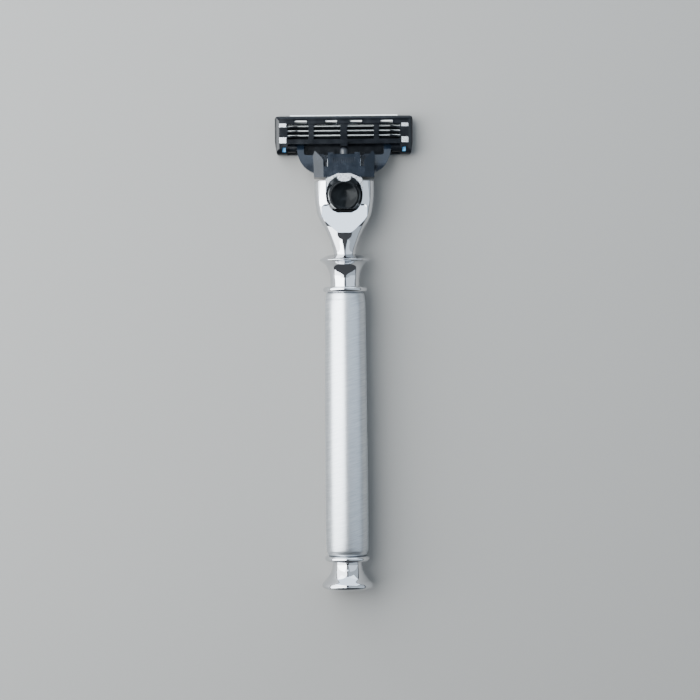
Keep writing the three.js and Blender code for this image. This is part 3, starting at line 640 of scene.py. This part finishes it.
def coil_spring(name, node, wire, turns, spare=0.0):
    """A round-wire spring with closed end coils, whose front end stops short by spare."""
    radius, z = radius_of(node) - wire / 2, centre_height(node)
    rear = station_of(node, 0) + wire / 2
    length = station_of(node, 1) - wire / 2 - spare - rear
    closed = wire * 1.03
    pitch = (length - 2 * closed) / (turns - 2)
    steps, section = turns * 32, 12
    verts, rows = [], []
    for step in range(steps + 1):
        turn = turns * step / steps
        if turn < 1:
            along, rise = closed * turn, closed
        elif turn > turns - 1:
            along, rise = length - closed * (turns - turn), closed
        else:
            along, rise = closed + pitch * (turn - 1), pitch
        angle = math.tau * turn
        out = Vector((math.cos(angle), 0, math.sin(angle)))
        ahead = Vector((-radius * out.z * math.tau, rise, radius * out.x * math.tau)).normalized()
        centre = radius * out + Vector((0, rear + along, z))
        ring = [centre + wire / 2 * (math.cos(a) * out + math.sin(a) * ahead.cross(out))
                for a in [math.tau * i / section for i in range(section)]]
        if step == 0:
            rows.append([len(verts)] * section)
            verts.append(centre)
        rows.append(list(range(len(verts), len(verts) + section)))
        verts += ring
    rows.append([len(verts)] * section)
    verts.append(centre)
    return piece_from(name, verts, bands(rows), sharp=50)


# ---------------------------------------------------------------- yoke

# The yoke's flat panel falls from its rear edge to its front, in (station, height).
PANEL_REAR = (122.4, 11.5)
PANEL_FRONT = (131, 10.35)
# The grip ribs on it: half is half a rib's width, rear and front are stations.
RIB = {"count": 11, "pitch": 0.66, "half": 0.16, "rear": 126.75, "front": 128.3, "height": 0.14}


def panel_height(station):
    """The height of the yoke's panel at a station."""
    share = (station - PANEL_REAR[0]) / (PANEL_FRONT[0] - PANEL_REAR[0])
    return PANEL_REAR[1] + (PANEL_FRONT[1] - PANEL_REAR[1]) * share


def grip_ribs():
    """A row of low ribs with round ends across the front of the yoke's panel."""
    half, sunk = RIB["half"], 0.06
    verts, faces = [], []
    for i in range(RIB["count"]):
        x = (i - (RIB["count"] - 1) / 2) * RIB["pitch"]
        outline = arc(x, RIB["front"] - half, half, 0, 180, 8)
        outline += arc(x, RIB["rear"] + half, half, 180, 360, 8)
        n, start = len(outline), len(verts)
        for depth in (-sunk, RIB["height"]):
            verts += [(u, v, panel_height(v) + depth) for u, v in outline]
        faces += [tuple(range(start, start + n)), tuple(range(start + n, start + 2 * n))]
        faces += [(start + k, start + (k + 1) % n, start + n + (k + 1) % n, start + n + k)
                  for k in range(n)]
    return soften(piece_from("yoke_grip_ribs", verts, faces), 0.05, 2)


# ---------------------------------------------------------------- assembly


def goes_with(piece, node, finish):
    """Lets a piece ride on a CAD node's body, with a finish."""
    piece.data.materials.clear()
    piece.data.materials.append(finish)
    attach(piece, NODES[node]["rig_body"])
    return piece


def stands_for(piece, node, finish):
    """Puts a piece in a CAD node's place, on its body, with a finish."""
    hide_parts(node)
    return goes_with(piece, node, finish)


def keep(node, finish, radius=0.0):
    """Keeps a CAD node's shape, with a finish and, at a radius, rounded edges."""
    piece = NODES[node]
    piece.data.materials.clear()
    piece.data.materials.append(finish)
    shade(piece.data, CAD_SHARP)
    if radius:
        soften(piece, radius)


CHROME = chrome()
stands_for(end_cap(), "end_cap", CHROME)
stands_for(bead_ring("lower_bead", "lower_bead_ring", False), "lower_bead_ring", CHROME)
stands_for(bead_ring("upper_bead", "upper_bead_ring", True), "upper_bead_ring", CHROME)
stands_for(barrel(), "barrel_sleeve", brushed())
stands_for(upper_collar(), "upper_collar", CHROME)
stands_for(head_body(), "head_body", CHROME)
BUTTON = plastic("button_black", (0.004, 0.005, 0.006), 0.12, 0.2, 0.03, 0.1)
stands_for(thumb_button(), "ejector_button", BUTTON)
STEEL = steel("ground_steel", (0.62, 0.63, 0.65), 0.28)
NYLON = plastic("plunger_nylon", (0.03, 0.033, 0.04), 0.25, 0.4, 0.08)
stands_for(plunger(), "plunger", NYLON)

NOSE = steel("nose_metal", (0.66, 0.68, 0.71), 0.26, (1500, 1500, 1500))
keep("nose_insert", NOSE, 0.12)
keep("ejector_slide", NOSE, 0.2)
keep("tie_rod", STEEL, 0.15)
for node in ("nose_pin_left", "nose_pin_right"):
    keep(node, STEEL, 0.08)

# The plunger's spring leaves its flange the room that it takes when the blades tip up, and the
# ejector's is pressed against the front of its groove as the button comes forward.
stands_for(coil_spring("plunger_coil", "plunger_spring", 0.4, 7, spare=0.4), "plunger_spring", STEEL)
ejector_coil = stands_for(coil_spring("ejector_coil", "ejector_spring", 0.25, 7), "ejector_spring", STEEL)
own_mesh(ejector_coil)

YOKE = plastic("yoke_plastic", (0.005, 0.009, 0.016), 0.15, 0.24, 0.22, 0.4)
keep("yoke", YOKE, 0.16)
goes_with(grip_ribs(), "yoke", YOKE)
HOUSING = plastic("housing_black", (0.004, 0.005, 0.007), 0.1, 0.18, 0.02, 0.32)
keep("cartridge_housing", HOUSING, 0.1)
RUBBER = plastic("guard_rubber", (0.1, 0.42, 0.85), 0.4, 0.6, 0.3)
keep("guard_rubber", RUBBER, 0.05)
keep("lubricating_strip", waxy_strip(), 0.12)
CLIP = steel("clip_sheet", (0.88, 0.89, 0.9), 0.22, (4000, 60, 4000))
BLADE = blade_steel()
for side in ("left", "right"):
    keep("clip_" + side, CLIP, 0.05)
for place in ("rear", "middle", "front"):
    keep("blade_" + place, BLADE)
    keep("blade_support_" + place, BLADE, 0.06)


# ---------------------------------------------------------------- stage, light and camera


def stage():
    """A plain pale floor just under the razor."""
    half = 1.5
    mesh = bpy.data.meshes.new("floor")
    z = cad_box[0][2] - 0.0001
    mesh.from_pydata([(-half, -half, z), (half, -half, z), (half, half, z), (-half, half, z)], [],
                     [(0, 1, 2, 3)])
    floor = bpy.data.objects.new("floor", mesh)
    bpy.context.scene.collection.objects.link(floor)
    s = Shader("pale_floor", (0.27, 0.264, 0.254), 0.7)
    mesh.materials.append(s.bump((s.noise(400, detail=5), 0.1, 0.05)))


def softbox(name, low, high, side, radiance, color):
    """A rectangular panel that faces the razor, given by the ends of one edge and the way from it
    to the opposite edge."""
    low, high, side = Vector(low), Vector(high), Vector(side)
    edge = high - low
    side -= side.project(edge)
    centre = low + (edge + side) / 2
    light = bpy.data.lights.new(name, "AREA")
    light.shape = "RECTANGLE"
    light.size, light.size_y = edge.length, side.length
    light.energy = radiance * math.pi * light.size * light.size_y
    light.color = color
    across, up = edge.normalized(), side.normalized()
    if across.cross(up).dot(centre) < 0:
        up.negate()
    turn = Matrix((across, up, across.cross(up))).transposed()
    lamp = bpy.data.objects.new(name, light)
    lamp.matrix_world = Matrix.Translation(centre) @ turn.to_4x4()
    lamp.visible_camera = False
    bpy.context.scene.collection.objects.link(lamp)


def bank(name, side, radiance, color):
    """A tall bank beside the razor that leans over it, with a wing that carries it to the rear."""
    rear = -0.065
    inner, outer = (0.073 * side, rear, 0.74), (0.742 * side, rear, 0.08)
    wing = (0.742 * side, -0.41, 0.08)
    softbox(name, outer, inner, (0, 1, 0), radiance, color)
    softbox(name + "_wing", wing, inner, (0.206 * side, 0.4, 0), radiance, color)


def lights():
    """Two banks beside the razor, the right one dimmer, a small panel over its front, a low window
    in front of it, and a dim room. The banks leave a narrow gap overhead, and nothing behind."""
    world = bpy.data.worlds.new("studio")
    world.use_nodes = True
    world.node_tree.nodes["Background"].inputs["Color"].default_value = (0.75, 0.8, 0.88, 1)
    world.node_tree.nodes["Background"].inputs["Strength"].default_value = 0.12
    bpy.context.scene.world = world
    bank("left_bank", -1, 5.6, (0.93, 0.975, 1))
    bank("right_bank", 1, 0.7, (0.76, 0.88, 1))
    pale_blue = (0.74, 0.86, 1)
    softbox("front_panel", (-0.072, 0.165, 0.73), (0.072, 0.165, 0.73), (0, 0.1, 0), 3.2, pale_blue)
    softbox("front_window", (-0.75, 0.9, 0.03), (0.75, 0.9, 0.03), (0, 0, 0.6), 2.6, pale_blue)


def camera():
    """Straight above, as far as the view's perspective says, turned by half a degree."""
    data = bpy.data.cameras.new("camera")
    data.sensor_width = 36
    data.lens = 102
    data.clip_start = 0.01
    eye = bpy.data.objects.new("camera", data)
    eye.location = (0.0013, 0.0, 0.6)
    eye.rotation_euler = (0, 0, math.radians(-0.51))
    bpy.context.scene.collection.objects.link(eye)
    bpy.context.scene.camera = eye


stage()
lights()
camera()
